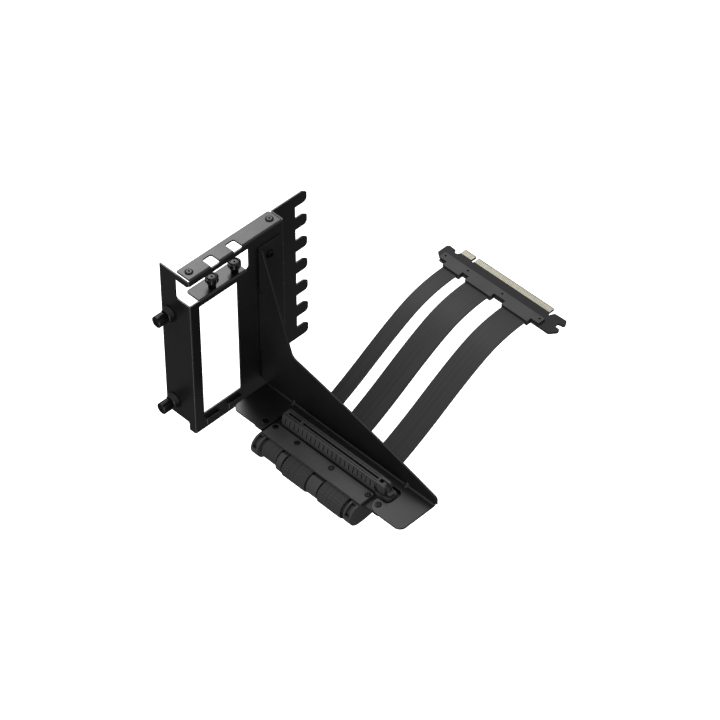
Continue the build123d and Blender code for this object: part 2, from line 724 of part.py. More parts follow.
# Cable guide: a seat for each cable with a relief on both sides, spacers between and drums at both ends
with BuildPart() as cable_guide:
    drum_z = (wide_route[1][1] + wide_route[3][1]) / 2
    drum_r = (wide_route[1][1] - wide_route[3][1]) / 2 - ribbon_t / 2 - guide_clear
    small_z = (narrow_route[1][1] + narrow_route[3][1]) / 2
    small_r = (narrow_route[1][1] - narrow_route[3][1]) / 2 - ribbon_t / 2 - guide_clear
    seats = [(middle + shift - width / 2, middle + shift + width / 2) for (middle, width), shift
             in zip(cables, (narrow_seat_shift, middle_seat_shift, wide_seat_shift))]
    spacers = [(before[1] + relief_w, after[0] - relief_w) for before, after in zip(seats, seats[1:])]
    drums = [(guide_back, seats[0][0] - end_relief_w), (seats[-1][1] + end_relief_w, guide_front)]
    lands = [drums[0], *spacers, drums[1]]
    spans = [(*drum, cheek_r, cheek_z) for drum in drums]
    spans += [(*spacer, cheek_r - spacer_lip, cheek_z) for spacer in spacers]
    rounds = ((small_r, small_z), (drum_r, drum_z), (drum_r, drum_z))
    for seat, (radius, z), before, after in zip(seats, rounds, lands, lands[1:]):
        spans += [(*seat, radius, z), (before[1], seat[0], radius - relief_depth, z),
                  (seat[1], after[0], radius - relief_depth, z)]
    for y0, y1, radius, z in spans:
        section = guide_section(radius, z, z - radius)
        extrude(section.moved(Location((0, guide_back - y0, 0))), amount=y1 - y0)
    # Arched slot in the drum at each end
    with BuildSketch(across_y(-guide_back)) as arch:
        with Locations((guide_x, cheek_z)):
            Circle(cheek_r + 1)
            Circle(cheek_r - drum_slot_depth, mode=Mode.SUBTRACT)
        reach = 3 * cheek_r
        turns = [radians(a) for a in (drum_slot_from, (drum_slot_from + drum_slot_to) / 2, drum_slot_to)]
        Polygon((guide_x, cheek_z), *[(guide_x - reach * sin(a), cheek_z + reach * cos(a)) for a in turns],
                align=None, mode=Mode.INTERSECT)
    for y0, y1 in drums:
        extrude(arch.sketch.moved(Location((0, guide_back - y0 - cheek_w, 0))), amount=y1 - y0 - 2 * cheek_w,
                mode=Mode.SUBTRACT)
    # Ledge of each spacer, below the cover's edge
    for y0, y1 in spacers:
        cut_block((ledge_x, board_x0 - guide_clear), (-y1, -y0), (ledge_z, ribbon_top))
    hole(across_z(board_z - board_t), [(cover_screw_x, -y) for y in cover_screws_y], small_stud_r, 5.0)
cable_guide.part.label = "cable_guide"
export_step(cable_guide.part, "parts/cable_guide.step")

# Cover that clamps the cables on the board, with a channel over each
with BuildPart() as guide_cover:
    extrude(outline(across_z(board_z), [(cover_x0, -cover_back), (cover_x1, -cover_back),
                                        (cover_x1, -cover_front), (cover_x0, -cover_front)],
                    {0: cover_r, 1: cover_x1 - cover_screw_x, 2: cover_r, 3: cover_r}),
            amount=ribbon_t + cover_t)
    cut_block((cover_x0 - 1, board_x0 + guide_clear), (-cover_front - 1, 1 - cover_back),
              (board_z - 1, ribbon_top))
    for middle, width in cables:
        reach = width / 2 + guide_clear
        cut_block((cover_x0 - 1, cover_x1 + 1), (-middle - reach, reach - middle), (board_z - 1, ribbon_top))
    hole(across_z(ribbon_top + cover_t), [(cover_screw_x, -y) for y in cover_screws_y], small_stud_r,
         cover_t + ribbon_t)
guide_cover.part.label = "guide_cover"
export_step(guide_cover.part, "parts/guide_cover.step")

cover_screws = Compound([low_screw(across_z(ribbon_top + cover_t, cover_screw_x, -y), cover_head_r,
                                   cover_head_h, small_stud_r, cover_t + ribbon_t + board_t + 4.0)
                         for y in cover_screws_y])
cover_screws.label = "cover_screws"
export_step(cover_screws, "parts/cover_screws.step")

# Board of the plug: ears at both ends and the keyed finger edge
with BuildPart() as plug_board:
    ears = [(plug_back_x, -37.0), (204.6, -29.3), (213.5, -29.3), (215.0, -30.8), (214.6, -36.9),
            (211.8, -37.7), (212.7, -40.7), (finger_root_x, -finger_back), (finger_x, -finger_back),
            (finger_x, -plug_key_y0), (plug_key_x, -plug_key_y0), (plug_key_x, -plug_key_y1),
            (finger_x, -plug_key_y1), (finger_x, -finger_front), (finger_root_x, -finger_front),
            (211.7, -126.5), (216.5, -128.5), (216.9, -139.2), (211.9, -141.9), (210.7, -136.6),
            (207.5, -136.8), (207.2, -141.2), (204.6, -142.1), (plug_back_x, -138.0)]
    extrude(outline(across_z(plug_z - board_t), ears,
                    {1: 1.0, 3: 0.8, 4: 0.8, 8: 0.8, 9: 0.8, 12: 0.8, 13: 0.8, 16: 1.5, 17: 1.5, 18: 1.5,
                     21: 1.0, 22: 1.0}), amount=board_t)
    hole(across_z(plug_z), [(plug_pin_x, -y) for y in plug_pins_y], plug_pin_r, board_t)
plug_board.part.label = "plug_board"
export_step(plug_board.part, "parts/plug_board.step")

# Finger contacts on both faces of the plug's edge
pad_rows = []
for z0, z1 in ((plug_z, plug_z + pad_t), (plug_z - board_t - pad_t, plug_z - board_t)):
    for low, high in ((finger_back, plug_key_y0), (plug_key_y1, finger_front)):
        count = int((high - low) / pad_pitch)
        first = (low + high - (count - 1) * pad_pitch) / 2
        for i in range(count):
            centre = place(finger_x - finger_l, -first - i * pad_pitch, z0)
            pad_rows.append(Solid.make_box(finger_l - 0.6, pad_w, z1 - z0,
                                           Plane(centre - Vector(0, pad_w / 2, 0))))
plug_contacts = Compound(pad_rows)
plug_contacts.label = "plug_contacts"
export_step(plug_contacts, "parts/plug_contacts.step")


def shell(z0, z1, lap_z0, lap_z1):
    """Half shell of the plug between two heights, with the lap that closes it behind the board."""
    with BuildPart() as half:
        for low, high, x1 in ((z0, z1, shell_x1), (lap_z0, lap_z1, shell_lap_x)):
            extrude(outline(across_z(low), [(shell_x0, -shell_back), (x1, -shell_back), (x1, -shell_front),
                                            (shell_x0, -shell_front)], {1: 0.5, 2: 0.5}), amount=high - low)
        for back, front in gaps_between(shell_back - 1, shell_front + 1, shell_margin):
            cut_block((shell_x0 - 1, shell_step_x), (-front, -back), (z0 - board_t, z1 + board_t))
        hole(across_z(z1), [(plug_pin_x, -y) for y in plug_pins_y], plug_pin_r, z1 - z0)
    return half.part


plug_floor = plug_z - board_t
plug_cover = shell(plug_z, plug_z + shell_h, wide_route[-1][1], plug_z)
plug_cover.label = "plug_cover"
export_step(plug_cover, "parts/plug_cover.step")

plug_under = shell(plug_floor - shell_h, plug_floor, plug_floor, wide_route[-1][1])
plug_under.label = "plug_under"
export_step(plug_under, "parts/plug_under.step")

# Pins that hold the two half shells, sunk a little below the cover's face
with BuildPart() as plug_pins:
    with BuildSketch(across_z(plug_floor - shell_h)):
        with Locations(*[(plug_pin_x, -y) for y in plug_pins_y]):
            Circle(plug_pin_r)
    extrude(amount=2 * shell_h + board_t - pin_dip)
plug_pins.part.label = "plug_pins"
export_step(plug_pins.part, "parts/plug_pins.step")
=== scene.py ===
import json
import math

import bpy
import bmesh
from mathutils import Matrix, Vector


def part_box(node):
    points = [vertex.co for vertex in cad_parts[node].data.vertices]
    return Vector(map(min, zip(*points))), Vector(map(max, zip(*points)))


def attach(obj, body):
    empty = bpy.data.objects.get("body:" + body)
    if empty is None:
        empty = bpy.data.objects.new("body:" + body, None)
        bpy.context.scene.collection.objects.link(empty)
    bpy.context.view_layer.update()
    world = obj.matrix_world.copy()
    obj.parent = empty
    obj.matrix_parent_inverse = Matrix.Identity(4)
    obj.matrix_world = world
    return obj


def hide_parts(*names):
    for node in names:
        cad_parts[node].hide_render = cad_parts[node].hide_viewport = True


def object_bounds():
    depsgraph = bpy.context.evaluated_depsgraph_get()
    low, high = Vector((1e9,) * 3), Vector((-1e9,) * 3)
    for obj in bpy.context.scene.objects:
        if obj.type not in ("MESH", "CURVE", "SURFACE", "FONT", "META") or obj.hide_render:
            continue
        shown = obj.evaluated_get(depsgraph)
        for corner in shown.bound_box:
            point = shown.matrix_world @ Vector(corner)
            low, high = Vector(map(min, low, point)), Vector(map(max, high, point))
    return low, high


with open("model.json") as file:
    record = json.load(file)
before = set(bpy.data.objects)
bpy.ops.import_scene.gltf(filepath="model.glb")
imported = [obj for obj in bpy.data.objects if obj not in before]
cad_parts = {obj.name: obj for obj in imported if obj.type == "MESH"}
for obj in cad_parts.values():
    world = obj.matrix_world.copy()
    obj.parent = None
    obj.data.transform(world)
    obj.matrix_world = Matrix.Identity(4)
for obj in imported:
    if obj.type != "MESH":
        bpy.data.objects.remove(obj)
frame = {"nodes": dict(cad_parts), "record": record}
CAD_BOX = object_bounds()

bl_info = {
    "name": "Vertical Card Bracket",
    "version": (1, 0, 0),
    "blender": (4, 5, 0),
    "location": "View3D > Sidebar > Card Bracket",
    "description": "Finishes a vertical graphics card bracket: coated steel, screws, riser and flat cables",
    "category": "Object",
}

MM = 0.001
NODES = frame["nodes"]

# Where the model's origin lies, measured from the frame's bottom outer corner, in millimetres
ORIGIN = (1.2, 20.0, 59.64)

# Middle lines of the flat cables in X and Z, from under the guide's cover to the plug, in millimetres
WIDE_ROUTE = [(31.5, 7.7), (21.67, 7.7), (16.83, -0.67), (21.67, -9.04), (42.0, -9.04),
              (85.0, 4.3), (148.0, 42.4), (178.0, 53.5), (196.4, 53.5)]
NARROW_ROUTE = [(31.5, 7.7), (22.48, 7.7), (18.45, 0.73), (22.48, -6.24), (42.0, -6.24),
                (85.0, 6.3), (148.0, 43.4), (178.0, 53.5), (196.4, 53.5)]

# How far each cable lies to the front of its solid on the guide and to the back of it on its run and at the
# plug, in millimetres, because the real ones are laid a little askew
ASKEW = {"ribbon_narrow": (1.7, 0.6), "ribbon_middle": (1.0, 0.6), "ribbon_wide": (0.55, 0.3)}
POINTS_ON_GUIDE = 5

# The jacket's creases end at this X in millimetres, under the guide, and are low on the narrow cable
CREASES_END = 24.0
NARROW_CREASE = 0.2

# Small screws that are blackened, while the thumb screws and the flange's screws are plated
SMALL_SCREWS = ("support_screws", "riser_screws", "cover_screws", "plug_pins")

# Sheets that close the two pockets in the front plate: left edges, and the spans in Y and Z, in millimetres
POCKET_BACKS = {"first_pocket_back": 9.9, "second_pocket_back": 30.22}
POCKET_LENGTH = 10.5
POCKET_Y = (0.2, 1.2)
POCKET_Z = (4.6, 9.4)
POCKET_CORNER = 1.2

# The camera's place and the places that the lights are aimed at or stand at, in millimetres
CAMERA_AT = (-977.68, -1133.17, 1554.99)
FLANGE_AT = (43, 7, 142)
FOLD_AT = (0, 0, 60)
STRIP_AT = (-250, -250, -290)
GUIDE_AT = (20, -70, 0)


def place(x, y, z):
    """A point given from the frame's corner in millimetres, in the row's own axes in metres."""
    return Vector(((x - ORIGIN[0]) * MM, (y - ORIGIN[1]) * MM, (z - ORIGIN[2]) * MM))


# Sizes and finishes that a user would change


class BracketFinish(bpy.types.PropertyGroup):
    coat_hex: bpy.props.StringProperty(
        name="Powder coat", description="Colour of the black polyester coat on the steel", default="#131314")
    coat_grit: bpy.props.FloatProperty(
        name="Coat texture", description="Width of one bump of the coat in millimetres", default=0.5,
        min=0.05)
    nickel_hex: bpy.props.StringProperty(
        name="Black nickel", description="Colour of the plated screws", default="#323233")
    oxide_hex: bpy.props.StringProperty(
        name="Black oxide", description="Colour of the small blackened screws", default="#222223")
    plastic_hex: bpy.props.StringProperty(
        name="Moulded nylon", description="Colour of the socket, guide and plug shells", default="#3C3C3D")
    mask_hex: bpy.props.StringProperty(
        name="Solder mask", description="Colour of the boards", default="#1C1C1D")
    jacket_hex: bpy.props.StringProperty(
        name="Cable jacket", description="Colour of the flat cables", default="#363637")
    gold_hex: bpy.props.StringProperty(
        name="Gold plate", description="Colour of the finger contacts", default="#DCD8C4")


class BracketCables(bpy.types.PropertyGroup):
    thickness: bpy.props.FloatProperty(
        name="Thickness", description="Thickness of a flat cable", default=1.0 * MM, unit="LENGTH")
    rib_pitch: bpy.props.FloatProperty(
        name="Pair pitch", description="Width of one pair of wires under the jacket", default=2.13 * MM,
        unit="LENGTH")
    rib_height: bpy.props.FloatProperty(
        name="Pair height", description="How far a pair of wires lifts the jacket", default=0.05 * MM,
        unit="LENGTH")
    crease_pitch: bpy.props.FloatProperty(
        name="Crease pitch", description="Distance between the creases of the jacket round the guide",
        default=2.1 * MM, unit="LENGTH")
    crease_height: bpy.props.FloatProperty(
        name="Crease height", description="How far a crease stands out from the jacket", default=0.5 * MM,
        unit="LENGTH")


class BracketStage(bpy.types.PropertyGroup):
    lens: bpy.props.FloatProperty(
        name="Lens", description="Focal length in millimetres on a 36 mm frame", default=158.65)
    azimuth: bpy.props.FloatProperty(
        name="Azimuth", description="Direction the camera looks in, from +X towards +Y",
        default=math.radians(44.95), subtype="ANGLE")
    elevation: bpy.props.FloatProperty(
        name="Elevation", description="How far down the camera looks", default=math.radians(44.83),
        subtype="ANGLE")
    roll: bpy.props.FloatProperty(
        name="Roll", description="Turn of the camera about its own axis", default=math.radians(0.11),
        subtype="ANGLE")
    floor_drop: bpy.props.FloatProperty(
        name="Floor drop", description="How far the floor lies under the bracket", default=0.30,
        unit="LENGTH")
    paper_hex: bpy.props.StringProperty(
        name="Paper", description="Colour of the floor", default="#FFFFFF")
    softbox_power: bpy.props.FloatProperty(
        name="Softbox", description="Power of the box behind the bracket in watts", default=2.3)
    strip_power: bpy.props.FloatProperty(
        name="Strip", description="Power of the strip in front of the fold in watts", default=0.35)
    card_power: bpy.props.FloatProperty(
        name="Card", description="Power of the card at the guide in watts", default=0.42)


# Colours and nodes


def linear(hex_colour):
    """sRGB hex to linear RGBA."""
    parts = [int(hex_colour.lstrip("#")[i:i + 2], 16) / 255 for i in (0, 2, 4)]
    return [c / 12.92 if c <= 0.04045 else ((c + 0.055) / 1.055) ** 2.4 for c in parts] + [1.0]


def add_node(tree, kind, settings=None, inputs=None, links=None, stops=()):
    """Adds a node with its properties, its sockets' values and the stops of its ramp, and links
    {its socket: (node, socket)}."""
    node = tree.nodes.new(kind)
    for key, value in (settings or {}).items():
        setattr(node, key, value)
    for key, value in (inputs or {}).items():
        node.inputs[key].default_value = value
    for key, (source, socket) in (links or {}).items():
        tree.links.new(source.outputs[socket], node.inputs[key])
    for element, (position, colour) in zip(node.color_ramp.elements if stops else (), stops):
        element.position = position
        element.color = colour
    return node


def new_material(name, **surface):
    """An empty node material with its Principled surface."""
    material = bpy.data.materials.new(name)
    material.use_nodes = True
    tree = material.node_tree
    tree.nodes.clear()
    shader = add_node(tree, "ShaderNodeBsdfPrincipled",
                      inputs={key.replace("_", " "): value for key, value in surface.items()})
    add_node(tree, "ShaderNodeOutputMaterial", links={"Surface": (shader, "BSDF")})
    return material, tree, shader


def shade(colour, factor):
    return [c * factor for c in colour[:3]] + [1.0]


# Materials


def powder_coat(finish):
    """Polyester powder coat, sprayed and baked: near black, satin, with a faint orange-peel texture that
    breaks up its highlights, and edges a little rounded by the coat."""
    colour = linear(finish.coat_hex)
    material, tree, shader = new_material("satin_black_powder_coat", Roughness=0.36, IOR=1.5,
                                          Specular_IOR_Level=0.5)
    spot = add_node(tree, "ShaderNodeTexCoord")
    # One bump is as wide as the coat's texture: the noise has about one bump per unit, and the spot is in
    # metres
    peel = add_node(tree, "ShaderNodeTexNoise",
                    inputs={"Scale": 1 / (finish.coat_grit * MM), "Detail": 2.0, "Roughness": 0.5},
                    links={"Vector": (spot, "Object")})
    # Clouds about 20 mm wide, as the spray leaves them
    cloud = add_node(tree, "ShaderNodeTexNoise", inputs={"Scale": 1 / (20 * MM), "Detail": 3.0},
                     links={"Vector": (spot, "Object")})
    tone = add_node(tree, "ShaderNodeValToRGB", links={"Fac": (cloud, "Fac")},
                    stops=((0.3, shade(colour, 0.85)), (0.7, shade(colour, 1.2))))
    tree.links.new(tone.outputs["Color"], shader.inputs["Base Color"])
    gloss = add_node(tree, "ShaderNodeMapRange",
                     inputs={"From Min": 0.3, "From Max": 0.7, "To Min": 0.33, "To Max": 0.39},
                     links={"Value": (cloud, "Fac")})
    tree.links.new(gloss.outputs["Result"], shader.inputs["Roughness"])
    edge = add_node(tree, "ShaderNodeBevel", {"samples": 8}, {"Radius": 0.45 * MM})
    bump = add_node(tree, "ShaderNodeBump", inputs={"Strength": 0.1, "Distance": 0.02 * MM},
                    links={"Height": (peel, "Fac"), "Normal": (edge, "Normal")})
    tree.links.new(bump.outputs["Normal"], shader.inputs["Normal"])
    return material


def black_nickel(finish):
    """Black nickel over machined steel: a dark mirror, with fine turning marks that blur it a little."""
    colour = linear(finish.nickel_hex)
    material, tree, shader = new_material("black_nickel_plate", Metallic=1.0, Roughness=0.24)
    spot = add_node(tree, "ShaderNodeTexCoord")
    # Turning marks about 0.6 mm apart, coarser than the real ones so that they show
    grain = add_node(tree, "ShaderNodeTexNoise", inputs={"Scale": 1 / (0.6 * MM), "Detail": 2.0},
                     links={"Vector": (spot, "Object")})
    tone = add_node(tree, "ShaderNodeValToRGB", links={"Fac": (grain, "Fac")},
                    stops=((0.3, shade(colour, 0.85)), (0.7, shade(colour, 1.1))))
    tree.links.new(tone.outputs["Color"], shader.inputs["Base Color"])
    edge = add_node(tree, "ShaderNodeBevel", {"samples": 8}, {"Radius": 0.12 * MM})
    bump = add_node(tree, "ShaderNodeBump", inputs={"Strength": 0.08, "Distance": 0.01 * MM},
                    links={"Height": (grain, "Fac"), "Normal": (edge, "Normal")})
    tree.links.new(bump.outputs["Normal"], shader.inputs["Normal"])
    return material


def black_oxide(finish):
    """Blackened steel, oiled: the small screws, much duller than the plated ones."""
    colour = linear(finish.oxide_hex)
    material, tree, shader = new_material("oiled_black_oxide", Metallic=1.0, Roughness=0.34)
    spot = add_node(tree, "ShaderNodeTexCoord")
    # Blotches of oil about 0.8 mm wide
    oil = add_node(tree, "ShaderNodeTexNoise", inputs={"Scale": 1 / (0.8 * MM), "Detail": 2.0},
                   links={"Vector": (spot, "Object")})
    tone = add_node(tree, "ShaderNodeValToRGB", links={"Fac": (oil, "Fac")},
                    stops=((0.3, shade(colour, 0.8)), (0.7, shade(colour, 1.3))))
    tree.links.new(tone.outputs["Color"], shader.inputs["Base Color"])
    edge = add_node(tree, "ShaderNodeBevel", {"samples": 8}, {"Radius": 0.12 * MM})
    tree.links.new(edge.outputs["Normal"], shader.inputs["Normal"])
    return material


def moulded_nylon(finish):
    """Glass-filled nylon from a spark-eroded mould: black, satin, with a fine grain, and painted shade in its
    hollows.
    """
    colour = linear(finish.plastic_hex)
    material, tree, shader = new_material("moulded_black_nylon", Roughness=0.5, IOR=1.53,
                                          Specular_IOR_Level=0.3)
    spot = add_node(tree, "ShaderNodeTexCoord")
    # Spark grain 0.3 mm wide, and a slow change of tone 15 mm wide from the melt's flow
    grain = add_node(tree, "ShaderNodeTexNoise", inputs={"Scale": 1 / (0.3 * MM), "Detail": 1.0},
                     links={"Vector": (spot, "Object")})
    flow = add_node(tree, "ShaderNodeTexNoise", inputs={"Scale": 1 / (15 * MM), "Detail": 2.0},
                    links={"Vector": (spot, "Object")})
    tone = add_node(tree, "ShaderNodeValToRGB", links={"Fac": (flow, "Fac")},
                    stops=((0.3, shade(colour, 0.85)), (0.7, shade(colour, 1.15))))
    # Painted shade: where a hollow has a neighbour within 2 mm, ambient occlusion darkens the base colour. It
    # stands in for the shade in the rib slots and the guide's gaps
    hollow_occlusion = add_node(tree, "ShaderNodeAmbientOcclusion", {"samples": 8}, {"Distance": 2 * MM},
                      links={"Color": (tone, "Color")})
    painted_shade = add_node(tree, "ShaderNodeMix", {"data_type": "RGBA", "blend_type": "MULTIPLY"}, {"Factor": 1.0},
                    links={"A": (hollow_occlusion, "Color"), "B": (hollow_occlusion, "AO")})
    tree.links.new(painted_shade.outputs["Result"], shader.inputs["Base Color"])
    edge = add_node(tree, "ShaderNodeBevel", {"samples": 8}, {"Radius": 0.2 * MM})
    bump = add_node(tree, "ShaderNodeBump", inputs={"Strength": 0.12, "Distance": 0.02 * MM},
                    links={"Height": (grain, "Fac"), "Normal": (edge, "Normal")})
    tree.links.new(bump.outputs["Normal"], shader.inputs["Normal"])
    return material


def solder_mask(finish):
    """Black solder mask on glass-epoxy board: satin, a little olive, with copper traces that show as faint
    paler lines."""
    colour = linear(finish.mask_hex)
    material, tree, shader = new_material("black_solder_mask", Roughness=0.42, IOR=1.5,
                                          Specular_IOR_Level=0.25)
    spot = add_node(tree, "ShaderNodeTexCoord")
    # Traces 1 mm apart: a wave has a crest every 2 pi / 20 units
    traces = add_node(tree, "ShaderNodeTexWave", {"bands_direction": "Y"},
                      {"Scale": 2 * math.pi / 20 / (1.0 * MM), "Distortion": 0.4, "Detail": 1.0},
                      links={"Vector": (spot, "Object")})
    tone = add_node(tree, "ShaderNodeValToRGB", links={"Fac": (traces, "Fac")},
                    stops=((0.55, colour), (0.7, shade(colour, 1.5))))
    tree.links.new(tone.outputs["Color"], shader.inputs["Base Color"])
    bump = add_node(tree, "ShaderNodeBump", inputs={"Strength": 0.2, "Distance": 0.02 * MM},
                    links={"Height": (traces, "Fac")})
    tree.links.new(bump.outputs["Normal"], shader.inputs["Normal"])
    return material


def cable_jacket(finish):
    """Thin black polyolefin film laminated over the shielded pairs: satin, drawn out along the cable."""
    colour = linear(finish.jacket_hex)
    material, tree, shader = new_material("laminated_cable_jacket", Roughness=0.5, IOR=1.48,
                                          Specular_IOR_Level=0.18)
    spot = add_node(tree, "ShaderNodeTexCoord")
    # Draw lines about 1 mm apart across the cable and 160 mm long
    drawn = add_node(tree, "ShaderNodeMapping",
                     inputs={"Scale": (1 / (160 * MM), 1 / (1.0 * MM), 1 / (160 * MM))},
                     links={"Vector": (spot, "Object")})
    lines = add_node(tree, "ShaderNodeTexNoise", inputs={"Scale": 1.0, "Detail": 2.0},
                     links={"Vector": (drawn, "Vector")})
    tone = add_node(tree, "ShaderNodeValToRGB", links={"Fac": (lines, "Fac")},
                    stops=((0.3, shade(colour, 0.85)), (0.7, shade(colour, 1.15))))
    tree.links.new(tone.outputs["Color"], shader.inputs["Base Color"])
    bump = add_node(tree, "ShaderNodeBump", inputs={"Strength": 0.2, "Distance": 0.02 * MM},
                    links={"Height": (lines, "Fac")})
    tree.links.new(bump.outputs["Normal"], shader.inputs["Normal"])
    return material


def gold_plate(finish):
    """Hard gold over nickel on copper: pale and warm, almost smooth."""
    colour = linear(finish.gold_hex)
    material, tree, shader = new_material("gold_finger_plate", Metallic=1.0, Roughness=0.4)
    spot = add_node(tree, "ShaderNodeTexCoord")
    # Rubbed patches about 1.4 mm wide, from plugging and unplugging
    wear = add_node(tree, "ShaderNodeTexNoise", inputs={"Scale": 1 / (1.4 * MM), "Detail": 2.0},
                    links={"Vector": (spot, "Object")})
    tone = add_node(tree, "ShaderNodeValToRGB", links={"Fac": (wear, "Fac")},
                    stops=((0.3, shade(colour, 0.9)), (0.7, shade(colour, 1.05))))
    tree.links.new(tone.outputs["Color"], shader.inputs["Base Color"])
    return material


FINISHES = {
    "black_powder_coat": powder_coat,
    "black_nickel": black_nickel,
    "black_plastic": moulded_nylon,
    "board_laminate": solder_mask,
    "cable_jacket": cable_jacket,
    "gold_plate": gold_plate,
    "small_screws": black_oxide,
}
MADE = {}


def finish_of(slot_name):
    """The finish of one of the record's material slots, or of the small screws, made once."""
    if slot_name not in MADE:
        MADE[slot_name] = FINISHES[slot_name](bpy.context.scene.bracket_finish)
    return MADE[slot_name]


def dress(obj, material):
    """Gives a piece or a CAD node one material."""
    obj.data.materials.clear()
    obj.data.materials.append(material)


# Pieces


class BRACKET_OT_coat(bpy.types.Operator):
    """Finish every CAD node that keeps its own shape"""
    bl_idname = "bracket.finish_nodes"
    bl_label = "Finish the solid parts"

    def execute(self, context):
        for part in frame["record"]["subparts"]:
            slot = "small_screws" if part["node"] in SMALL_SCREWS else part["material_slot"]
            if slot != "cable_jacket":
                dress(NODES[part["node"]], finish_of(slot))
        return {"FINISHED"}


class BRACKET_OT_pockets(bpy.types.Operator):
    """Close the backs of the two pockets that take the foot of the card's bracket"""
    bl_idname = "bracket.add_pocket_backs"
    bl_label = "Add the pocket backs"

    def execute(self, context):
        half = (POCKET_LENGTH / 2 - POCKET_CORNER, (POCKET_Z[1] - POCKET_Z[0]) / 2 - POCKET_CORNER)
        for name, left in POCKET_BACKS.items():
            made = bmesh.new()
            # A thin sheet with round corners, in the thickness of the front plate
            outline = []
            for side in (1, -1):
                for turn in range(-90, 91, 15):
                    angle = math.radians(turn)
                    across = side * (half[0] + POCKET_CORNER * math.cos(angle))
                    up = side * (half[1] * (1 if turn > 0 else -1) + POCKET_CORNER * math.sin(angle))
                    outline.append(place(left + POCKET_LENGTH / 2 + across, POCKET_Y[1],
                                         sum(POCKET_Z) / 2 + up))
            face = made.faces.new([made.verts.new(point) for point in outline])
            raised = bmesh.ops.extrude_face_region(made, geom=[face])
            moved = [item for item in raised["geom"] if isinstance(item, bmesh.types.BMVert)]
            bmesh.ops.translate(made, verts=moved, vec=(0, (POCKET_Y[0] - POCKET_Y[1]) * MM, 0))
            bmesh.ops.recalc_face_normals(made, faces=made.faces)
            mesh = bpy.data.meshes.new(name)
            made.to_mesh(mesh)
            made.free()
            sheet = bpy.data.objects.new(name, mesh)
            context.collection.objects.link(sheet)
            dress(sheet, finish_of("black_powder_coat"))
            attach(sheet, "bracket")
        return {"FINISHED"}


def smooth_route(name, route, middle_y, askew):
    """Points of the smooth line through a cable's route, in the row's own axes in metres."""
    curve = bpy.data.curves.new(name + "_line", "CURVE")
    curve.dimensions = "3D"
    spline = curve.splines.new("NURBS")
    spline.points.add(len(route) - 1)
    shifts = [-askew[0]] * POINTS_ON_GUIDE + [0.0] + [askew[1]] * (len(route) - POINTS_ON_GUIDE - 1)
    for point, (x, z), shift in zip(spline.points, route, shifts):
        point.co = (*place(x, shift - middle_y, z), 1.0)
    spline.order_u = 3
    spline.use_endpoint_u = True
    spline.resolution_u = 48
    line = bpy.data.objects.new(name + "_line", curve)
    mesh = bpy.data.meshes.new_from_object(line)
    points = [v.co.copy() for v in mesh.vertices]
    bpy.data.objects.remove(line)
    bpy.data.curves.remove(curve)
    bpy.data.meshes.remove(mesh)
    return points


def cable_profile(width, cables):
    """Half outlines of a flat cable: across the width, and up, with a low ridge over each pair."""
    half = cables.thickness / 2
    steps_per_pair = 6
    steps = max(1, int(width / cables.rib_pitch)) * steps_per_pair
    round_end = half * 0.8
    top = []
    for i in range(steps + 1):
        across = -width / 2 + round_end + (width - 2 * round_end) * i / steps
        wave = 0.5 + 0.5 * math.cos(2 * math.pi * across / cables.rib_pitch)
        top.append((across, half - cables.rib_height * (1 - wave)))
    right = [(width / 2 - round_end + round_end * math.cos(a), (half - cables.rib_height) * math.sin(a))
             for a in (math.radians(d) for d in (60, 30, 0, -30, -60))]
    bottom = [(across, -up) for across, up in reversed(top)]
    left = [(-across, -up) for across, up in right]
    return top + right + bottom + left


def sweep(name, points, profile, creases):
    """Mesh of a profile carried along a line with its width kept along Y, closed at both ends. The outer face
    has creases across it, of a pitch and a height, up to the place where the line leaves the guide."""
    pitch, height, last_x = creases
    made = bmesh.new()
    rings = []
    run = 0.0
    leaving = False
    for i, point in enumerate(points):
        ahead = points[min(i + 1, len(points) - 1)] - points[max(i - 1, 0)]
        up = Vector((0, -1, 0)).cross(Vector((ahead.x, 0, ahead.z)).normalized())
        run += (point - points[max(i - 1, 0)]).length
        leaving = leaving or (ahead.x > 0 and point.x > last_x)
        crease = 0.0 if leaving else height * (0.5 + 0.5 * math.cos(2 * math.pi * run / pitch))
        rings.append([made.verts.new(point + Vector((0, across, 0)) + up * (rise - crease * (rise < 0)))
                      for across, rise in profile])
    for ring, after in zip(rings, rings[1:]):
        for i in range(len(profile)):
            j = (i + 1) % len(profile)
            made.faces.new((ring[i], ring[j], after[j], after[i]))
    made.faces.new(list(reversed(rings[0])))
    made.faces.new(rings[-1])
    bmesh.ops.recalc_face_normals(made, faces=made.faces)
    mesh = bpy.data.meshes.new(name)
    made.to_mesh(mesh)
    made.free()
    for face in mesh.polygons:
        face.use_smooth = len(face.vertices) == 4
    obj = bpy.data.objects.new(name, mesh)
    bpy.context.collection.objects.link(obj)
    return obj


class BRACKET_OT_cables(bpy.types.Operator):
    """Make the three flat cables round their guide and up to the plug"""
    bl_idname = "bracket.add_cables"
    bl_label = "Add the flat cables"

    def execute(self, context):
        cables = context.scene.bracket_cables
        for node, route in (("ribbon_narrow", NARROW_ROUTE), ("ribbon_middle", WIDE_ROUTE),
                            ("ribbon_wide", WIDE_ROUTE)):
            low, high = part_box(node)
            width = high[1] - low[1]
            middle_y = -(((low[1] + high[1]) / 2) / MM + ORIGIN[1])
            points = smooth_route(node, route, middle_y, ASKEW[node])
            height = cables.crease_height * (NARROW_CREASE if node == "ribbon_narrow" else 1.0)
            creases = (cables.crease_pitch, height, place(CREASES_END, 0, 0).x)
            cable = sweep(node.replace("ribbon", "flat_cable"), points, cable_profile(width, cables), creases)
            dress(cable, finish_of("cable_jacket"))
            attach(cable, "bracket")
            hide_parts(node)
        return {"FINISHED"}


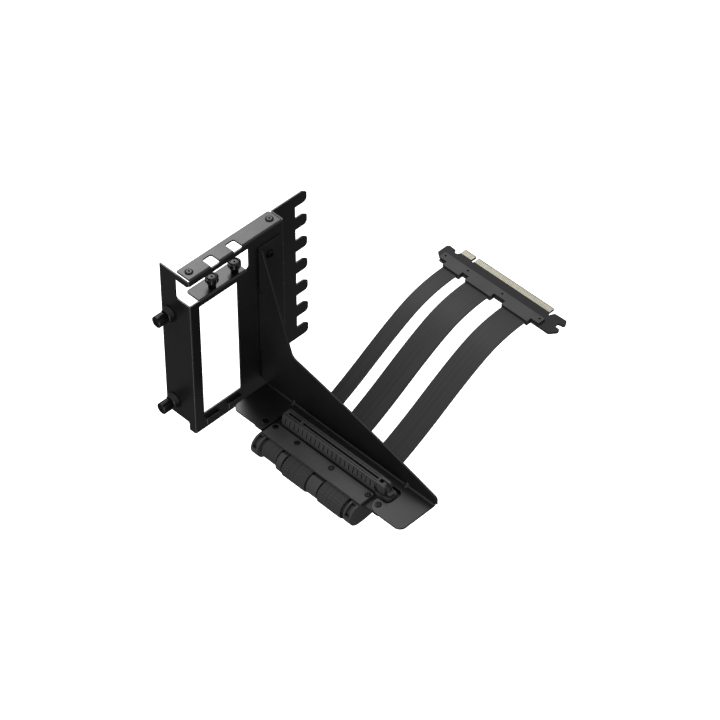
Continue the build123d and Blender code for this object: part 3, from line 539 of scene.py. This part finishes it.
def soft_light(name, place_at, aim, size, power):
    """A rectangular studio light, which the camera doesn't see."""
    data = bpy.data.lights.new(name, "AREA")
    data.shape = "RECTANGLE"
    data.size = size[0]
    data.size_y = size[1]
    data.energy = power
    lamp = bpy.data.objects.new(name, data)
    lamp.location = place_at
    lamp.rotation_euler = (Vector(aim) - Vector(place_at)).to_track_quat("-Z", "Y").to_euler()
    lamp.visible_camera = False
    bpy.context.collection.objects.link(lamp)


class BRACKET_OT_stage(bpy.types.Operator):
    """Set up the white paper, the studio lights and the camera"""
    bl_idname = "bracket.add_stage"
    bl_label = "Add the stage"

    def execute(self, context):
        stage = context.scene.bracket_stage
        context.scene.view_settings.view_transform = "Standard"

        camera = bpy.data.cameras.new("photo_camera")
        camera.lens = stage.lens
        camera.sensor_width = 36.0
        camera.clip_end = 20.0
        eye = bpy.data.objects.new("photo_camera", camera)
        look = Vector((math.cos(stage.elevation) * math.cos(stage.azimuth),
                       math.cos(stage.elevation) * math.sin(stage.azimuth), -math.sin(stage.elevation)))
        roll = Matrix.Rotation(stage.roll, 4, "Z")
        eye.matrix_world = look.to_track_quat("-Z", "Y").to_matrix().to_4x4() @ roll
        eye.location = place(*CAMERA_AT)
        context.collection.objects.link(eye)
        context.scene.camera = eye

        # Paper lit from within, so that it is plain white and takes no shadow, and throws none of its light
        # back on the black parts
        reach = 6.0
        floor_z = CAD_BOX[0][2] - stage.floor_drop
        floor_mesh = bpy.data.meshes.new("paper_floor")
        floor_mesh.from_pydata([(-reach, -reach, floor_z), (reach, -reach, floor_z), (reach, reach, floor_z),
                                (-reach, reach, floor_z)], [], [(0, 1, 2, 3)])
        floor = bpy.data.objects.new("paper_floor", floor_mesh)
        context.collection.objects.link(floor)
        paper = new_material("white_paper", Roughness=0.9, Base_Color=linear(stage.paper_hex),
                             Emission_Color=linear(stage.paper_hex), Emission_Strength=1.0)[0]
        dress(floor, paper)
        floor.visible_glossy = False
        floor.visible_diffuse = False

        world = bpy.data.worlds.new("studio")
        context.scene.world = world
        world.use_nodes = True
        backdrop = world.node_tree.nodes["Background"]
        # The room: dim below, brighter above
        spot = add_node(world.node_tree, "ShaderNodeTexCoord")
        height = add_node(world.node_tree, "ShaderNodeSeparateXYZ", links={"Vector": (spot, "Generated")})
        room = add_node(world.node_tree, "ShaderNodeMapRange",
                        inputs={"From Min": -0.35, "From Max": 0.8, "To Min": 0.13, "To Max": 0.8},
                        links={"Value": (height, "Z")})
        world.node_tree.links.new(room.outputs["Result"], backdrop.inputs["Strength"])
        backdrop.inputs["Color"].default_value = (1, 1, 1, 1)

        # The far box shines on the faces that look up, and the strip draws a thin line on every upright fold.
        # The guide's card lifts the cables' turns, the gusset and the socket's ribs
        flange, fold, guide = place(*FLANGE_AT), place(*FOLD_AT), place(*GUIDE_AT)
        away = Vector((look.x, look.y, 0)).normalized()
        right = Vector((away.y, -away.x, 0))
        behind = flange + (away + Vector((0, 0, 1))) * 0.42 - right * 0.10
        soft_light("far_softbox", behind, flange, (0.30, 0.40), stage.softbox_power)
        soft_light("fold_strip", place(*STRIP_AT), fold, (0.08, 0.40), stage.strip_power)
        soft_light("guide_card", guide + Vector((-0.28, -0.12, 0.02)), guide, (0.25, 0.25), stage.card_power)
        return {"FINISHED"}


class BRACKET_PT_sidebar(bpy.types.Panel):
    """Shows the bracket's finishes, cable sizes and stage settings, and the buttons that make its pieces"""
    bl_idname = "BRACKET_PT_sidebar"
    bl_label = "Card Bracket"
    bl_space_type = "VIEW_3D"
    bl_region_type = "UI"
    bl_category = "Card Bracket"

    def draw(self, context):
        layout = self.layout
        scene = context.scene
        for group in (scene.bracket_finish, scene.bracket_cables, scene.bracket_stage):
            box = layout.box()
            for name in group.__annotations__:
                box.prop(group, name)
        for operator in (BRACKET_OT_coat, BRACKET_OT_pockets, BRACKET_OT_cables, BRACKET_OT_stage):
            layout.operator(operator.bl_idname)


CLASSES = (BracketFinish, BracketCables, BracketStage, BRACKET_OT_coat, BRACKET_OT_pockets, BRACKET_OT_cables,
           BRACKET_OT_stage, BRACKET_PT_sidebar)


def register():
    for cls in CLASSES:
        bpy.utils.register_class(cls)
    bpy.types.Scene.bracket_finish = bpy.props.PointerProperty(type=BracketFinish)
    bpy.types.Scene.bracket_cables = bpy.props.PointerProperty(type=BracketCables)
    bpy.types.Scene.bracket_stage = bpy.props.PointerProperty(type=BracketStage)


def unregister():
    del bpy.types.Scene.bracket_stage
    del bpy.types.Scene.bracket_cables
    del bpy.types.Scene.bracket_finish
    for cls in reversed(CLASSES):
        bpy.utils.unregister_class(cls)


def main():
    register()
    bpy.ops.bracket.add_stage()
    bpy.ops.bracket.add_cables()
    bpy.ops.bracket.finish_nodes()
    bpy.ops.bracket.add_pocket_backs()


if __name__ == "__main__":
    main()
